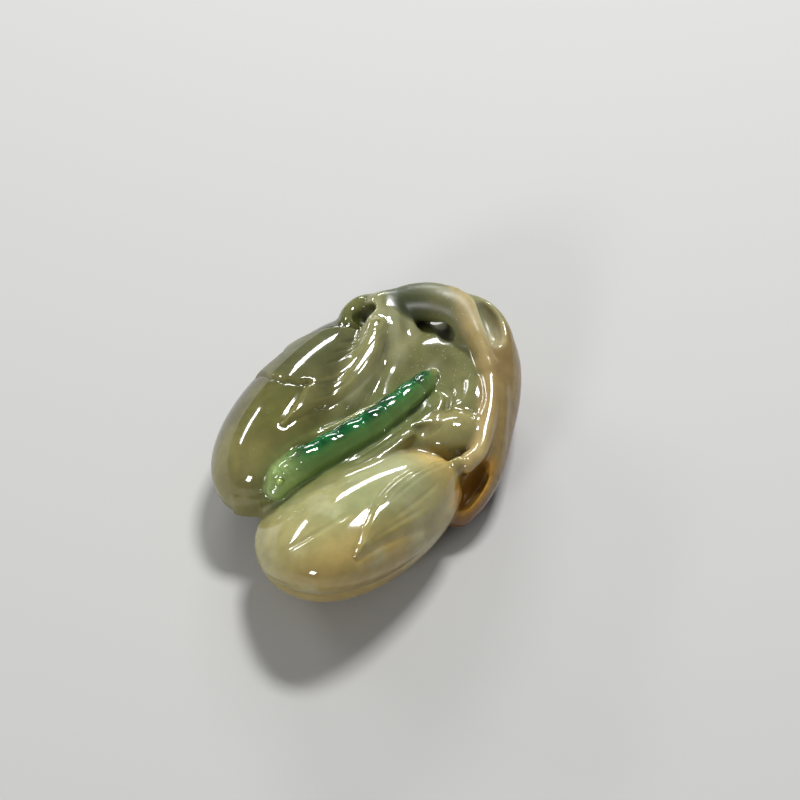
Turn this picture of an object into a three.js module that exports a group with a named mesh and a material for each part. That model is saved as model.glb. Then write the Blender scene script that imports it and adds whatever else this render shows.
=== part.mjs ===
// A pendant carved from one piece of jade: two long fruits side by side, leaves that lap over them,
// a vine that arches over the cord hole, a curled leaf down the right side, and a larva that
// lies on the leaf between the fruits. Millimetres, +Z up, lying on its back.
//
// The stone is one continuous form, so it is worked out as a field: a function that is negative
// inside the stone and positive outside it. Swellings are joined to it with a rounded fillet,
// hollows are cut from it with a rounded lip, and its zero level is then skinned with triangles.

import * as THREE from 'three';

// The grid that the skin is read from, and the block of space that holds the pendant
const CELL = 1.22;
const BLOCK_LOW = [-22.5, -30, -3.2];
const BLOCK_HIGH = [21, 30, 19];

// Where the middle of the finished outline lies in the carver's own coordinates
const MIDDLE = [-0.66, -0.43];

// The two fruits: centre, heading in degrees from +Y towards +X, half length, half width and half
// thickness, how much the girth shrinks towards the stem, how far the ends bend sideways, how much
// the crown is flattened along its length, and how far the crest is shifted to the right of the
// fruit's middle and turned across it from its middle to its stem
const LEFT_FRUIT = {
  centre: [-12.7, -1.4, 7.9],
  heading: -3.6,
  half: [18.6, 7.5, 8],
  taper: 0.25,
  bend: -0.9,
  crown: 0.4,
  shift: 2.2,
  turn: 0,
};
const FRONT_FRUIT = {
  centre: [6.2, -13.3, 8],
  heading: 31,
  half: [15.6, 9.6, 8.1],
  taper: 0.2,
  bend: 0,
  crown: 0.6,
  shift: 3.2,
  turn: -4.5,
};

// The stone that carries the leaves behind and between the fruits
const BED = { centre: [1.6, 8.4, 6.1], heading: 8, half: [18.6, 13, 6.4] };
const SHOULDER = { centre: [-6.6, 1.5, 9.4], heading: -4, half: [13, 4.4, 5] };
const STALK_ROOT = { centre: [-8, 16.6, 8.6], heading: 0, half: [4.4, 3.8, 4.4] };
const NODE = { centre: [10.6, 4.6, 10.4], heading: 40, half: [4.2, 3.2, 2.6] };

// Hollows: the dish of the middle leaf, the space behind the arch, the cup of the curled leaf, the
// hollow beside the stem and the pit inside the small curl of vine
const DISH = { centre: [4, 11, 15.6], heading: -10, half: [12.5, 6.8, 5.6] };
const BACK_OF_HOLE = { centre: [-6.4, 27.2, 7.7], heading: 0, half: [5.6, 5.6, 4] };
const CUP = { centre: [16.6, -0.4, 7.6], heading: 4, half: [4.6, 1.3, 3] };
const PAD = { centre: [6.2, 23.8, 13.4], heading: -45, half: [4.4, 1.8, 3] };
const CURL_PIT = { centre: [-10.5, 16, 12.8], heading: 40, half: [1.9, 1.5, 2.4] };

// Swept forms, each row x, y, z and radius
const CURLED_LEAF = [
  [4.2, 23.6, 8.2, 4], [7.6, 21.2, 8, 4.3], [10.6, 16, 7.4, 4.3], [12.8, 10.5, 6.8, 4.2],
  [14.6, 5, 6.2, 4.1], [15.6, 0.6, 5.2, 3.3], [15.9, -2.6, 4, 2.2],
];
const ARCH = [
  [-9.6, 18.4, 9.6, 2.6], [-8.2, 20, 11, 2.6], [-5.6, 21.8, 12.2, 2.8], [-2.2, 23, 12.9, 2.9],
  [1.2, 23.2, 12.6, 2.8], [4.2, 21.8, 11.4, 2.8],
];
const RIGHT_STEM = [
  [-0.4, 24.2, 13.5, 1.7], [1.9, 23.5, 13.6, 1.6], [4.9, 21.2, 13.2, 1.4], [7.3, 19.2, 12.4, 1.3],
  [9.7, 17, 11.6, 1.1],
];
const PAD_RIM = [
  [0.6, 26, 11.6, 1.5], [2.9, 26.5, 11.3, 1.5], [5.2, 26.1, 11, 1.5], [7.4, 24.7, 10.7, 1.5],
  [8.9, 22.7, 10.2, 1.5], [9.9, 20.2, 9.6, 1.6],
];
const LEAF_RIM = [
  [9.6, 17.2, 11.2, 1.1], [12.2, 13.1, 11, 1.2], [14.2, 8.2, 10.8, 1.2], [15.5, 3.8, 10.8, 1.2],
  [15.1, 0.5, 11.2, 1.4],
];
const LEFT_STALKS = [
  [[-9.8, 18.7, 12.2, 1.8], [-7.1, 13.5, 12.9, 1.7], [-5.7, 9.1, 12.9, 1.7], [-4.8, 4.5, 12.7, 1.8],
    [-5, 1.3, 12, 1.8]],
  [[-8.7, 19.7, 12.2, 1.8], [-5.7, 15.7, 12.2, 1.6], [-3.1, 12.4, 11.1, 1.5], [-2, 9.9, 10.1, 1.3],
    [-1.2, 7.7, 9.5, 1.1]],
  [[-7.4, 20.2, 11.9, 1.5], [-3.7, 17.3, 10.9, 1.3], [-2.4, 14, 10.2, 1.2], [-1.3, 11.3, 9.8, 1]],
];
const CURL = [
  [-8.6, 18.4, 11.8, 1.7], [-10.6, 19.2, 11.4, 1.6], [-12.4, 18.2, 11, 1.6], [-12.9, 16, 10.8, 1.6],
  [-12, 13.8, 11, 1.6],
];
const LARVA = [
  [-5.4, -16.6, 11.8, 1.6], [-5.1, -15.1, 12.8, 2.1], [-3.7, -12.4, 13.6, 2.4], [-1.9, -9.1, 14, 2.3],
  [-0.2, -5.4, 14.1, 2.2], [1.4, -1.6, 14, 2.2], [2.5, 3.3, 13.6, 2], [3.2, 7.7, 12.9, 1.8],
  [3.7, 11.2, 12.2, 1.3],
];
const LARVA_RINGS = 9;
const RING_DEPTH = 0.22;

// Swept cuts
const CORD_HOLE = [
  [-3.4, 24.4, 9, 1.9], [-1.6, 22.6, 10, 1.4], [0.2, 21, 10.8, 1.2], [1.4, 19.4, 11.8, 1.1],
];
const UPPER_PIT = [[6.2, 1.4, 12.9, 0.4], [7.5, 2.1, 12.4, 0.8], [8.9, 3.2, 12.9, 0.4]];
const LOWER_PIT = [[11.2, 0.2, 13, 0.4], [12.6, 0.6, 12.4, 0.8], [14, 1.5, 12.9, 0.4]];
const BLOSSOM_SCARS = [[-16.4, -18, 6.6], [-4, -26.2, 6]];
const SCAR_RADIUS = 0.7;

// Leaves: the line of the midrib in plan, the widest half width, where along the leaf that comes
// from 0 at the root to 1 at the tip, how pointed the tip is, and how far short of the root the
// outline would close
const MIDDLE_LEAF = {
  rib: [[4.8, 6.9], [3, 0.7], [0.3, -6.3], [-3.4, -12.3], [-6.7, -16.9], [-10.4, -19.6]],
  wide: 4.4,
  at: 0.45,
  point: 0.7,
  root: 0.7,
};

// Leaves laid over the fruits also say how far they stand proud of them. An upper leaf comes before
// one that it covers
const LAID_LEAVES = [
  {
    rib: [[-7.2, 14], [-10.7, 7.3], [-14, 1.9], [-18.4, -0.6]],
    wide: 5.7,
    at: 0.64,
    point: 0.6,
    proud: 0.5,
  },
  {
    rib: [[-6.4, 13], [-6.6, 5], [-7.6, -2.5], [-8.6, -9.4]],
    wide: 2.6,
    at: 0.38,
    point: 0.8,
    proud: 0.45,
  },
  {
    rib: [[13.9, -0.6], [13.05, -8.5], [11.9, -15.1], [11.2, -22.8]],
    wide: 3.1,
    at: 0.42,
    point: 0.7,
    proud: 0.45,
  },
];
const LAID_ROOT = 0.25;

// Fillets and lips in millimetres
const SHARP = 0.4;
const CRISP = 0.6;
const SOFT = 0.8;
const ROUND = 1.2;
const BROAD = 2.5;

// On the back of the stone the creases beside the fruits are left wider
const BACK_FILLET = 3;
const BACK_FROM = 2.5;
const BACK_TO = 8;

// The middle leaf's top: its height, how much lower its tip and its root lie and where along the
// leaf they start to sink, and how far its edges curl up
const LEAF_TOP = 13.3;
const TIP_DROP = 3.8;
const TIP_SINKS_FROM = 0.55;
const ROOT_DROP = 1.4;
const ROOT_SINKS_TO = 0.3;
const CURL_UP = 0.64;
const CURL_REACH = 4;
const LEAF_UNDERSIDE = 6;

// A leaf's outline closes just past the last point of its midrib
const OUTLINE_END = 1.02;

// Leaves are laid only on the upper side of the stone
const LAID_FROM = 8;
const LAID_TO = 10;

// Past its tips, as a share of its half length, a fruit bends and shrinks no further
const FRUIT_REACH = 1.2;

// How finely curves are cut into straight pieces, and how tightly they pass through their points
const SAMPLES_PER_SPAN = 4;
const CURVE_TENSION = 0.5;

// How the skin is evened out: passes, how far each goes, the longest move to the surface as a share
// of a cell, the step that slopes are measured over, and the least slope that is trusted
const SMOOTHING_PASSES = 4;
const RELAXING = 0.5;
const LONGEST_MOVE = CELL / 4;
const SLOPE_STEP = 0.05;
const LEAST_SLOPE = 0.3;

// How deep inside the stone a filled grid corner counts, and the smallest divisor
const FILL_DEPTH = 0.01;
const TINY = 1e-6;

function smoothStep(low, high, value) {
  const part = THREE.MathUtils.clamp((value - low) / (high - low), 0, 1);
  return part * part * (3 - 2 * part);
}

// Joins two forms with a fillet of the given width
function join(first, second, fillet) {
  const share = THREE.MathUtils.clamp(0.5 + (0.5 * (second - first)) / fillet, 0, 1);
  return second + (first - second) * share - fillet * share * (1 - share);
}

// Cuts the second form out of the first and rounds the lip
function cut(first, second, lip) {
  return -join(-first, second, lip);
}

// Coordinates along, across and above a form that points heading degrees from +Y towards +X
function turned([x, y, z], { centre, heading }) {
  const angle = THREE.MathUtils.degToRad(heading);
  const east = x - centre[0];
  const north = y - centre[1];
  return [
    east * Math.sin(angle) + north * Math.cos(angle),
    east * Math.cos(angle) - north * Math.sin(angle),
    z - centre[2],
  ];
}

// Distance to an ellipsoid, near enough wherever the surface is close
function ellipsoid([u, v, w], [a, b, c]) {
  const scaled = Math.hypot(u / a, v / b, w / c);
  const slope = Math.hypot(u / (a * a), v / (b * b), w / (c * c));
  return (scaled * (scaled - 1)) / Math.max(slope, TINY);
}

function lump(point, form) {
  return ellipsoid(turned(point, form), form.half);
}

// A fruit: an ellipsoid whose girth shrinks towards the stem, whose ends bend to one side, whose
// crown keeps its height for longer than an ellipsoid's, and whose crest runs across its upper half
function fruit(point, form) {
  const [u, v, w] = turned(point, form);
  const along = THREE.MathUtils.clamp(u / form.half[0], -FRUIT_REACH, FRUIT_REACH);
  const girth = 1 - form.taper * along;
  const crest = (form.shift + form.turn * along) * THREE.MathUtils.clamp(w / form.half[2], 0, 1);
  const bent = v - crest + form.bend * along * along;
  const height = w > 0 ? girth * Math.sqrt(1 + form.crown * along * along) : girth;
  return ellipsoid([u, bent / girth, w / height], form.half) * Math.min(girth, 1);
}

// A smooth curve through rows of x, y, z and radius, as short straight pieces
function sweep(rows) {
  const centres = rows.map(([x, y, z = 0]) => new THREE.Vector3(x, y, z));
  const radii = rows.map((row) => new THREE.Vector3(row[3] ?? 0, 0, 0));
  const steps = (rows.length - 1) * SAMPLES_PER_SPAN;
  const line = new THREE.CatmullRomCurve3(centres, false, 'catmullrom', CURVE_TENSION).getPoints(steps);
  const girth = new THREE.CatmullRomCurve3(radii, false, 'catmullrom', CURVE_TENSION).getPoints(steps);
  const travelled = [0];
  for (let i = 0; i < steps; i += 1) {
    travelled.push(travelled[i] + line[i].distanceTo(line[i + 1]));
  }
  return line.slice(0, steps).map((start, i) => ({
    start,
    run: line[i + 1].clone().sub(start),
    radius: girth[i].x,
    widening: girth[i + 1].x - girth[i].x,
    from: travelled[i] / travelled[steps],
    share: (travelled[i + 1] - travelled[i]) / travelled[steps],
  }));
}

// Distance to a swept form, and the place along it from 0 to 1
function swept([x, y, z], pieces) {
  const best = { distance: Infinity, along: 0 };
  for (const { start, run, radius, widening, from, share } of pieces) {
    const dx = x - start.x;
    const dy = y - start.y;
    const dz = z - start.z;
    const part = THREE.MathUtils.clamp((dx * run.x + dy * run.y + dz * run.z) / run.lengthSq(), 0, 1);
    const gap = Math.hypot(dx - part * run.x, dy - part * run.y, dz - part * run.z);
    const distance = gap - radius - part * widening;
    if (distance < best.distance) {
      best.distance = distance;
      best.along = from + part * share;
    }
  }
  return best;
}

// How far a point lies outside a leaf's outline in plan, with its place along and across the leaf
function leafOutline([x, y], { rib, wide, at, point, root = LAID_ROOT }) {
  const { distance: across, along } = swept([x, y, 0], rib);
  const fullness = smoothStep(-root, at, along) * (1 - smoothStep(at, OUTLINE_END, along)) ** point;
  return { outside: across - wide * fullness, along, across };
}

// The middle leaf: a low slab whose top sinks towards the tip and the root and cups across
function middleLeaf(point) {
  const { outside, along, across } = leafOutline(point, middleRib);
  const cupping = CURL_UP * Math.min(across / CURL_REACH, 1) ** 2;
  const tipSinking = TIP_DROP * smoothStep(TIP_SINKS_FROM, 1, along);
  const rootSinking = ROOT_DROP * (1 - smoothStep(0, ROOT_SINKS_TO, along));
  const above = point[2] - (LEAF_TOP - tipSinking - rootSinking + cupping);
  return Math.max(-join(-outside, -above, SOFT), LEAF_UNDERSIDE - point[2]);
}

// The larva: a swept body whose rings swell between shallow waists
function larva(point) {
  const { distance, along } = swept(point, larvaPath);
  const waist = Math.abs(Math.cos(Math.PI * LARVA_RINGS * along));
  return distance + RING_DEPTH * (1 - Math.sqrt(1 - waist * waist));
}

const ribbed = (leaf) => ({ ...leaf, rib: sweep(leaf.rib) });
const middleRib = ribbed(MIDDLE_LEAF);
const laidLeaves = LAID_LEAVES.map(ribbed);
const larvaPath = sweep(LARVA);
const curledLeaf = sweep(CURLED_LEAF);
const arch = sweep(ARCH);
const padRim = sweep(PAD_RIM);
const vine = [
  [sweep(RIGHT_STEM), SOFT],
  [sweep(LEAF_RIM), ROUND],
  ...LEFT_STALKS.map((stalk) => [sweep(stalk), ROUND]),
];
const curl = sweep(CURL);
const cordHole = sweep(CORD_HOLE);
const finePits = [sweep(UPPER_PIT), sweep(LOWER_PIT)];

// The whole stone, built up in the order a carver would rough it out
function stone(point) {
  let body = join(lump(point, BED), swept(point, curledLeaf).distance, BROAD);
  body = cut(body, lump(point, DISH), ROUND);
  body = cut(body, lump(point, BACK_OF_HOLE), ROUND);
  body = cut(body, lump(point, CUP), SOFT);
  body = join(body, lump(point, SHOULDER), ROUND);
  body = join(body, lump(point, STALK_ROOT), ROUND);
  const crease = THREE.MathUtils.lerp(BACK_FILLET, SOFT, smoothStep(BACK_FROM, BACK_TO, point[2]));
  body = join(body, fruit(point, LEFT_FRUIT), crease);
  body = join(body, fruit(point, FRONT_FRUIT), crease);
  body = join(body, middleLeaf(point), ROUND);
  body = join(body, lump(point, NODE), ROUND);
  body = join(body, swept(point, arch).distance, SOFT);
  body = join(body, swept(point, padRim).distance, ROUND);
  body = cut(body, lump(point, PAD), SOFT);
  for (const [path, fillet] of vine) {
    body = join(body, swept(point, path).distance, fillet);
  }
  body = cut(body, swept(point, cordHole).distance, CRISP);
  body = join(body, swept(point, curl).distance, SOFT);
  body = cut(body, lump(point, CURL_PIT), CRISP);
  for (const pit of finePits) {
    body = cut(body, swept(point, pit).distance, SOFT);
  }
  for (const [x, y, z] of BLOSSOM_SCARS) {
    const fromScar = Math.hypot(point[0] - x, point[1] - y, point[2] - z);
    body = cut(body, fromScar - SCAR_RADIUS, SOFT);
  }
  let bare = smoothStep(LAID_FROM, LAID_TO, point[2]);
  for (const leaf of laidLeaves) {
    const inside = 1 - smoothStep(-SOFT, SOFT, leafOutline(point, leaf).outside);
    body -= leaf.proud * inside * bare;
    bare *= 1 - inside;
  }
  return join(body, larva(point), SHARP);
}

// The steepest way out of the stone at a point, by small steps along the three axes
function slopeAt(field, point) {
  return new THREE.Vector3(
    ...point.map((_, axis) => {
      const ahead = [...point];
      const behind = [...point];
      ahead[axis] += SLOPE_STEP;
      behind[axis] -= SLOPE_STEP;
      return (field(ahead) - field(behind)) / (2 * SLOPE_STEP);
    }),
  );
}

// Moves a vertex along the slope towards the surface, by the longest move at most
function settle(field, vertex) {
  const slope = slopeAt(field, vertex.toArray());
  const distance = field(vertex.toArray()) / Math.max(slope.length(), LEAST_SLOPE);
  const reach = THREE.MathUtils.clamp(distance, -LONGEST_MOVE, LONGEST_MOVE);
  vertex.addScaledVector(slope.normalize(), -reach);
}

// Evens out a skin: each vertex moves towards the middle of its neighbours, then settles
function smooth(field, { vertices, faces }) {
  const neighbours = vertices.map(() => new Set());
  for (const face of faces) {
    face.forEach((vertex, corner) => {
      neighbours[vertex].add(face[(corner + 1) % face.length]);
      neighbours[face[(corner + 1) % face.length]].add(vertex);
    });
  }
  for (let pass = 0; pass < SMOOTHING_PASSES; pass += 1) {
    const middles = neighbours.map((ring) => {
      const middle = new THREE.Vector3();
      ring.forEach((vertex) => middle.add(vertices[vertex]));
      return middle.divideScalar(ring.size);
    });
    vertices.forEach((vertex, index) => {
      vertex.lerp(middles[index], RELAXING);
      settle(field, vertex);
    });
  }
}

// A cell is sound when its corners inside the stone hang together along the cell's edges, and its
// corners outside do too, so that one sheet of surface passes through it. Corners are bits 0 to 7.
const CORNERS = [0, 1, 2, 3, 4, 5, 6, 7];
const EDGE_STEPS = [1, 2, 4];
const ALL_CORNERS = 255;

function hangsTogether(corners) {
  let reached = corners & -corners;
  for (let pass = 0; pass < CORNERS.length; pass += 1) {
    for (const corner of CORNERS.filter((bit) => reached & (1 << bit))) {
      for (const step of EDGE_STEPS) {
        reached |= corners & (1 << (corner ^ step));
      }
    }
  }
  return reached === corners;
}

const SOUND = Array.from(
  { length: ALL_CORNERS + 1 },
  (_, inside) => hangsTogether(inside) && hangsTogether(ALL_CORNERS ^ inside),
);

// Fills the few grid corners where a crease or a web of stone is too fine for the grid
function fillFineCreases(values, count, stride) {
  const stepTo = (corner) => EDGE_STEPS.map((bit, axis) => (corner & bit ? stride[axis] : 0));
  const offsets = CORNERS.map((corner) => stepTo(corner).reduce((sum, step) => sum + step));
  let filled = true;
  while (filled) {
    filled = false;
    for (let k = 0; k < count[2] - 1; k += 1) {
      for (let j = 0; j < count[1] - 1; j += 1) {
        for (let i = 0; i < count[0] - 1; i += 1) {
          const here = i + j * stride[1] + k * stride[2];
          const corners = offsets.map((offset) => here + offset);
          const bits = corners.map((at, corner) => (values[at] < 0 ? 1 << corner : 0));
          if (!SOUND[bits.reduce((sum, bit) => sum + bit)]) {
            const outside = corners.filter((at) => values[at] >= 0);
            const nearest = outside.reduce((best, at) => (values[at] < values[best] ? at : best));
            values[nearest] = -values[nearest] - FILL_DEPTH;
            filled = true;
          }
        }
      }
    }
  }
}

// Skins the zero level of a field: one vertex in each cell that the surface crosses, at the middle
// of its crossings, and one four-sided face around each grid edge that the surface crosses
function skin(field, low, high, cell) {
  const count = low.map((start, axis) => Math.ceil((high[axis] - start) / cell) + 1);
  const stride = [1, count[0], count[0] * count[1]];
  const place = (i, j, k) => [low[0] + i * cell, low[1] + j * cell, low[2] + k * cell];
  const values = new Float64Array(count[0] * count[1] * count[2]);
  for (let k = 0; k < count[2]; k += 1) {
    for (let j = 0; j < count[1]; j += 1) {
      for (let i = 0; i < count[0]; i += 1) {
        values[i + j * stride[1] + k * stride[2]] = field(place(i, j, k));
      }
    }
  }

  fillFineCreases(values, count, stride);

  const crossings = new Map();
  const faces = [];
  for (let k = 1; k < count[2] - 1; k += 1) {
    for (let j = 1; j < count[1] - 1; j += 1) {
      for (let i = 1; i < count[0] - 1; i += 1) {
        const here = i + j * stride[1] + k * stride[2];
        for (let axis = 0; axis < 3; axis += 1) {
          const start = values[here];
          const end = values[here + stride[axis]];
          if (start < 0 === end < 0) {
            continue;
          }
          const crossing = place(i, j, k);
          crossing[axis] += (cell * start) / (start - end);
          const side = stride[(axis + 1) % 3];
          const back = stride[(axis + 2) % 3];
          const around = [here, here - side, here - side - back, here - back];
          for (const key of around) {
            if (!crossings.has(key)) {
              crossings.set(key, []);
            }
            crossings.get(key).push(crossing);
          }
          faces.push(start < 0 ? around : around.reverse());
        }
      }
    }
  }

  const order = new Map();
  const vertices = [];
  for (const [key, found] of crossings) {
    const middle = new THREE.Vector3();
    found.forEach((crossing) => middle.add(new THREE.Vector3(...crossing)));
    order.set(key, vertices.length);
    vertices.push(middle.divideScalar(found.length));
  }
  return { vertices, faces: faces.map((face) => face.map((key) => order.get(key))) };
}

// Splits each four-sided face along the diagonal that folds the surface less
function triangles({ vertices, faces }) {
  const normalOf = (...corners) => {
    const triangle = new THREE.Triangle(...corners.map((corner) => vertices[corner]));
    return triangle.getNormal(new THREE.Vector3());
  };
  return faces.flatMap(([a, b, c, d]) => {
    const firstFold = normalOf(a, b, c).dot(normalOf(a, c, d));
    const secondFold = normalOf(a, b, d).dot(normalOf(b, c, d));
    return firstFold > secondFold ? [a, b, c, a, c, d] : [a, b, d, b, c, d];
  });
}

// The skin as a geometry, ground flat where the stone would go below the table
function carvedGeometry() {
  const surface = skin(stone, BLOCK_LOW, BLOCK_HIGH, CELL);
  smooth(stone, surface);
  for (const vertex of surface.vertices) {
    vertex.z = Math.max(vertex.z, 0);
  }
  const geometry = new THREE.BufferGeometry().setFromPoints(surface.vertices);
  geometry.setIndex(triangles(surface));
  geometry.computeVertexNormals();
  return geometry;
}

const jade = new THREE.MeshStandardMaterial({ color: 0x85804a, roughness: 0.12, metalness: 0 });
const carving = new THREE.Mesh(carvedGeometry(), jade);
carving.name = 'jade_carving';
carving.position.set(-MIDDLE[0], -MIDDLE[1], 0);

const pendant = new THREE.Group();
pendant.add(carving);

export default pendant;
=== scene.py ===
# %% [markdown]
# # A pendant carved from one piece of jade
#
# Two long fruits lie side by side with leaves over them, a vine arches over the cord hole, and an
# emerald larva lies on the leaf between the fruits. The carver followed the colours of the
# stone: the green streak became the larva and the russet skin became the curled leaf.
#
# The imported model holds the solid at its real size. This script makes the finished surface around
# the same named sizes, adds the fine carving and the stone's colours, and lights it.

import bpy
import numpy as np
from mathutils import Matrix, Vector


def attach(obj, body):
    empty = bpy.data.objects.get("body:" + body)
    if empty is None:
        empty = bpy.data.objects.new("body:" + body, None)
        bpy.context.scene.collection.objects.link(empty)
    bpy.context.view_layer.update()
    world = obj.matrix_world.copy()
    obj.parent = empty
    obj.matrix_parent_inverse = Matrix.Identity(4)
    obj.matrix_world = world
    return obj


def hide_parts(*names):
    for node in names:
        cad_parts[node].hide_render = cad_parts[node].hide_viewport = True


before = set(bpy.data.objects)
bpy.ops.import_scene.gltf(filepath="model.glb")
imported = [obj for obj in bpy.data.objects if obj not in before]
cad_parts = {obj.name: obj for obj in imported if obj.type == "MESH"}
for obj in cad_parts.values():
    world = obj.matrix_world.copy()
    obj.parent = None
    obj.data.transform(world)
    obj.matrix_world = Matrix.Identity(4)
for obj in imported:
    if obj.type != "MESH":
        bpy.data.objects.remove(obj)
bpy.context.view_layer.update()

MM = 0.001

# The sizes below are in the carver's own coordinates. The pendant's plan outline has its middle here
MIDDLE = np.array([-0.660, -0.430, 0.0])


def smooth_step(low, high, value):
    """0 below low, 1 above high, and 3 s^2 - 2 s^3 of the share s between them."""
    share = np.clip((value - low) / (high - low), 0.0, 1.0)
    return share * share * (3.0 - 2.0 * share)


# %% [markdown]
# ## Camera
#
# The pendant is seen from above its front right, through a long lens. A camera's matrix has the
# directions of its right, its top and its back as columns, so they are worked out from two angles,
# and the camera is then stepped back until the pendant has its place in the picture.

# %% Camera
AZIMUTH = np.radians(30.0)
ELEVATION = np.radians(52.0)
LENS_MM = 100.0
SENSOR_MM = 36.0
DISTANCE = 324.4
RIGHT_OF_MIDDLE = -4.09
ABOVE_MIDDLE = -10.22

forward = np.array(
    [-np.sin(AZIMUTH) * np.cos(ELEVATION), np.cos(AZIMUTH) * np.cos(ELEVATION), -np.sin(ELEVATION)]
)
right = np.array([np.cos(AZIMUTH), np.sin(AZIMUTH), 0.0])
up = np.cross(right, forward)
eye = -(right * RIGHT_OF_MIDDLE + up * ABOVE_MIDDLE + forward * DISTANCE) - MIDDLE

camera_data = bpy.data.cameras.new("camera")
camera_data.lens = LENS_MM
camera_data.sensor_width = SENSOR_MM
camera_data.clip_start = 0.01
camera_data.dof.use_dof = False
camera = bpy.data.objects.new("camera", camera_data)
axes = Matrix([[*row] for row in np.stack([right, up, -forward], axis=1)]).to_4x4()
camera.matrix_world = Matrix.Translation(Vector(eye * MM)) @ axes
bpy.context.scene.collection.objects.link(camera)
bpy.context.scene.camera = camera
print("camera stands at", np.round(eye, 1), "mm")

# %% [markdown]
# ## The stone as a field
#
# A carving flows from one form into the next, which is hard to reach with separate meshes. So the
# stone is a field: a function that is negative inside and positive outside, in millimetres from the
# surface. Forms are joined with a fillet and cut with a rounded lip, in the order that a carver
# would rough them out, and the zero level of the field is skinned at the end.

# %% Joining and cutting
def join(first, second, fillet):
    """The smaller of two fields, less fillet h (1 - h), with h their share in the fillet's width."""
    share = np.clip(0.5 + 0.5 * (second - first) / fillet, 0.0, 1.0)
    return second + (first - second) * share - fillet * share * (1.0 - share)


def cut(first, second, lip):
    """First without second: minus the join of minus first and second."""
    return -join(-first, second, lip)


print("where two faces meet, a fillet adds", -join(0.0, 0.0, 1.0), "of its width")


# %% [markdown]
# ## Two kinds of form
#
# Nearly all of the carving is made of two kinds of form. The fruits and the hollows are swollen, so
# they are ellipsoids, which can be tapered, bent and crested as a real fruit is. The vine, the rims
# and the larva are long and round, so they are tubes swept along a smooth path. Spheres and curves
# could be modelled instead, but they wouldn't flow into each other as fields do.

# %% Lumps and fruits
TINY = 1e-6
FRUIT_REACH = 1.2


def turned(points, form):
    """Coordinates along, across and above a form that points heading degrees from +Y towards +X."""
    angle = np.radians(form["heading"])
    east, north, above = points - np.array(form["centre"], float)[:, None]
    along = east * np.sin(angle) + north * np.cos(angle)
    across = east * np.cos(angle) - north * np.sin(angle)
    return np.stack([along, across, above])


def ellipsoid(local, half):
    """k (k - 1) / |gradient of k|, with k the length of the point divided by the half sizes."""
    half = np.array(half, float)[:, None]
    scaled = np.linalg.norm(local / half, axis=0)
    slope = np.linalg.norm(local / half**2, axis=0)
    return scaled * (scaled - 1.0) / np.maximum(slope, TINY)


def lump(points, form):
    """An ellipsoid at the form's centre, turned to its heading."""
    return ellipsoid(turned(points, form), form["half"])


def fruit(points, form):
    """An ellipsoid whose girth is 1 - taper s, and which bends sideways by bend s^2, s from -1 to 1.

    Its upper half is higher by the root of 1 + crown s^2, so the crown runs flatter along its length,
    and its crest is moved across by shift + turn s, less in proportion further down.
    """
    along, across, above = turned(points, form)
    share = np.clip(along / form["half"][0], -FRUIT_REACH, FRUIT_REACH)
    crest = form["shift"] + form["turn"] * share
    across = across - crest * np.clip(above / form["half"][2], 0.0, 1.0)
    girth = 1.0 - form["taper"] * share
    height = np.where(above > 0.0, girth * np.sqrt(1.0 + form["crown"] * share**2), girth)
    local = np.stack([along, (across + form["bend"] * share**2) / girth, above / height])
    return ellipsoid(local, form["half"]) * np.minimum(girth, 1.0)


BALL = dict(centre=(0.0, 0.0, 0.0), heading=0.0, half=(1.0, 1.0, 1.0))
outside = np.array([[2.0], [0.0], [0.0]])
print("2 mm from the middle of a ball of radius 1 mm, the field is", lump(outside, BALL)[0])

# %% Swept forms
STEPS_PER_SPAN = 4

# Distances are worked out this far around a path. A leaf's outline lies further from its midrib
FAR = 3.0
LEAF_FAR = 9.0


def smooth_path(rows):
    """A Catmull-Rom curve through rows of any width: half of 2 b + (c - a) t + (2 a - 5 b + 4 c - d) t^2
    + (3 b - a - 3 c + d) t^3 on each span from b to c, with a and d the rows before and after."""
    rows = np.array(rows, float)
    padded = np.vstack([2 * rows[0] - rows[1], rows, 2 * rows[-1] - rows[-2]])
    a, b, c, d = (padded[k : len(padded) - 3 + k, None] for k in range(4))
    t = (np.arange(STEPS_PER_SPAN) / STEPS_PER_SPAN)[None, :, None]
    spans = 0.5 * (
        2 * b + (c - a) * t + (2 * a - 5 * b + 4 * c - d) * t**2 + (3 * b - a - 3 * c + d) * t**3
    )
    return np.vstack([spans.reshape(-1, rows.shape[1]), rows[-1]])


def way_along(path):
    """The share of a path's length that lies behind each of its points, and that length."""
    lengths = np.linalg.norm(np.diff(path[:, :3], axis=0), axis=1)
    return np.concatenate([[0.0], np.cumsum(lengths)]) / lengths.sum(), lengths.sum()


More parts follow.
